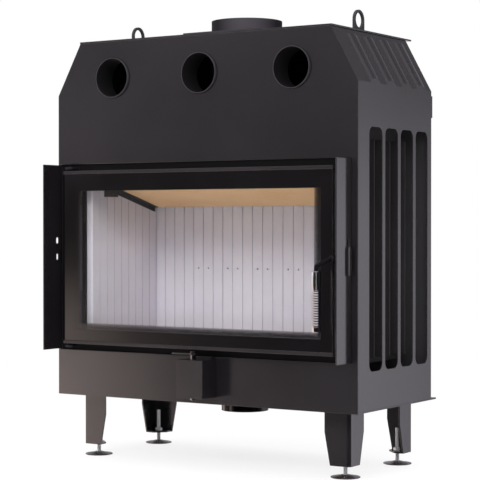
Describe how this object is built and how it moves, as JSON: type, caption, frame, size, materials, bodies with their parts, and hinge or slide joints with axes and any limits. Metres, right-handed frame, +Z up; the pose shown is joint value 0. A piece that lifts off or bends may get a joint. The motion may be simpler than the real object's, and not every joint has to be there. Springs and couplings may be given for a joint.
{
  "type": "fireplace insert",
  "caption": "Wood-burning fireplace insert in a slotted sheet-steel jacket: glazed hinged door, lined firebox, air lever, hot-air collars, flue collar and legs with screw feet.",
  "frame": {"origin": "middle of the overall footprint, at floor level under the foot pads", "axes": "+X to the viewer's right when facing the door, +Y backwards, away from the viewer, +Z up"},
  "size_m": [0.88, 0.498, 1.12],
  "materials": {
    "casing": "satin heat-proof paint",
    "firebox_steel": "matt black paint",
    "door_steel": "satin black paint",
    "bright_steel": "bright zinc-plated",
    "grip_chrome": "mirror bright",
    "lining": "dry pale fireclay, grooved",
    "baffle_board": "dry buff pressed board",
    "door_glass": "clear glass with a printed black border",
    "rope": "braided glass rope and flat tape"
  },
  "bodies": {
    "insert": {"air_box": "firebox_steel", "air_inlet_spigot": "bright_steel", "air_wash_channel": "firebox_steel", "back_panel": "casing", "baffle": "baffle_board", "baffle_rails": "firebox_steel", "base_plate": "casing", "cheek_pad": "casing", "control_cover": "casing", "firebox_frame": "firebox_steel", "firebox_shell": "firebox_steel", "flue_collar": "casing", "flue_duct": "firebox_steel", "flue_plinth": "casing", "foot_nuts": "bright_steel", "front_plate": "casing", "hearth_slab": "lining", "hinge_brackets": "door_steel", "hinge_pins": "bright_steel", "hinge_washers": "bright_steel", "hot_air_collar_left": "casing", "hot_air_collar_middle": "casing", "hot_air_collar_right": "casing", "inlet_duct": "firebox_steel", "latch_catch": "door_steel", "leg_back_left": "casing", "leg_back_right": "casing", "leg_bolts": "bright_steel", "leg_front_left": "casing", "leg_front_right": "casing", "lifting_eyes": "casing", "lining_back": "lining", "lining_clips": "firebox_steel", "lining_left": "lining", "lining_right": "lining", "rear_air_channel": "firebox_steel", "rear_tabs": "casing", "roof_plate": "casing", "side_cheek_left": "casing", "side_cheek_right": "casing", "side_fins": "firebox_steel", "side_panel_left": "casing", "side_panel_right": "casing"},
    "door": {"door_glass": "door_glass", "door_frame": "door_steel", "door_rails": "door_steel", "glass_gasket": "rope", "door_seal": "rope", "latch_bearing": "door_steel"},
    "handle": {"latch_shaft": "bright_steel", "handle_arm": "door_steel", "handle_grip": "grip_chrome"},
    "air_control": {"air_lever": "door_steel", "air_spindle": "bright_steel", "spindle_nuts": "bright_steel"},
    "air_slide": {"air_slide": "firebox_steel"},
    "foot_front_left": {"foot_front_left": "bright_steel"},
    "foot_front_right": {"foot_front_right": "bright_steel"},
    "foot_back_left": {"foot_back_left": "bright_steel"},
    "foot_back_right": {"foot_back_right": "bright_steel"}
  },
  "joints": [
    {"name": "door_swing", "type": "hinge", "parent": "insert", "child": "door", "pos_m": [-0.387, -0.179, 0.51], "axis": [0, 0, -1], "range_deg": [0, 100]},
    {"name": "handle_turn", "type": "hinge", "parent": "door", "child": "handle", "pos_m": [0.403, -0.212, 0.522], "axis": [0, 1, 0], "range_deg": [0, 50]},
    {"name": "lever_swing", "type": "hinge", "parent": "insert", "child": "air_control", "pos_m": [0.012, -0.203, 0.281], "axis": [0, 0, 1], "range_deg": [0, 80]},
    {"name": "slide_travel", "type": "slide", "parent": "insert", "child": "air_slide", "axis": [1, 0, 0], "range_m": [-0.02571, 0]},
    {"name": "level_front_left", "type": "slide", "parent": "insert", "child": "foot_front_left", "axis": [0, 0, -1], "range_m": [-0.012, 0.05]},
    {"name": "level_front_right", "type": "slide", "parent": "insert", "child": "foot_front_right", "axis": [0, 0, -1], "range_m": [-0.012, 0.05]},
    {"name": "level_back_left", "type": "slide", "parent": "insert", "child": "foot_back_left", "axis": [0, 0, -1], "range_m": [-0.012, 0.05]},
    {"name": "level_back_right", "type": "slide", "parent": "insert", "child": "foot_back_right", "axis": [0, 0, -1], "range_m": [-0.012, 0.05]}
  ],
  "couplings": [
    {"joint": "slide_travel", "follows": "lever_swing", "m_per_rad": -0.018414}
  ]
}
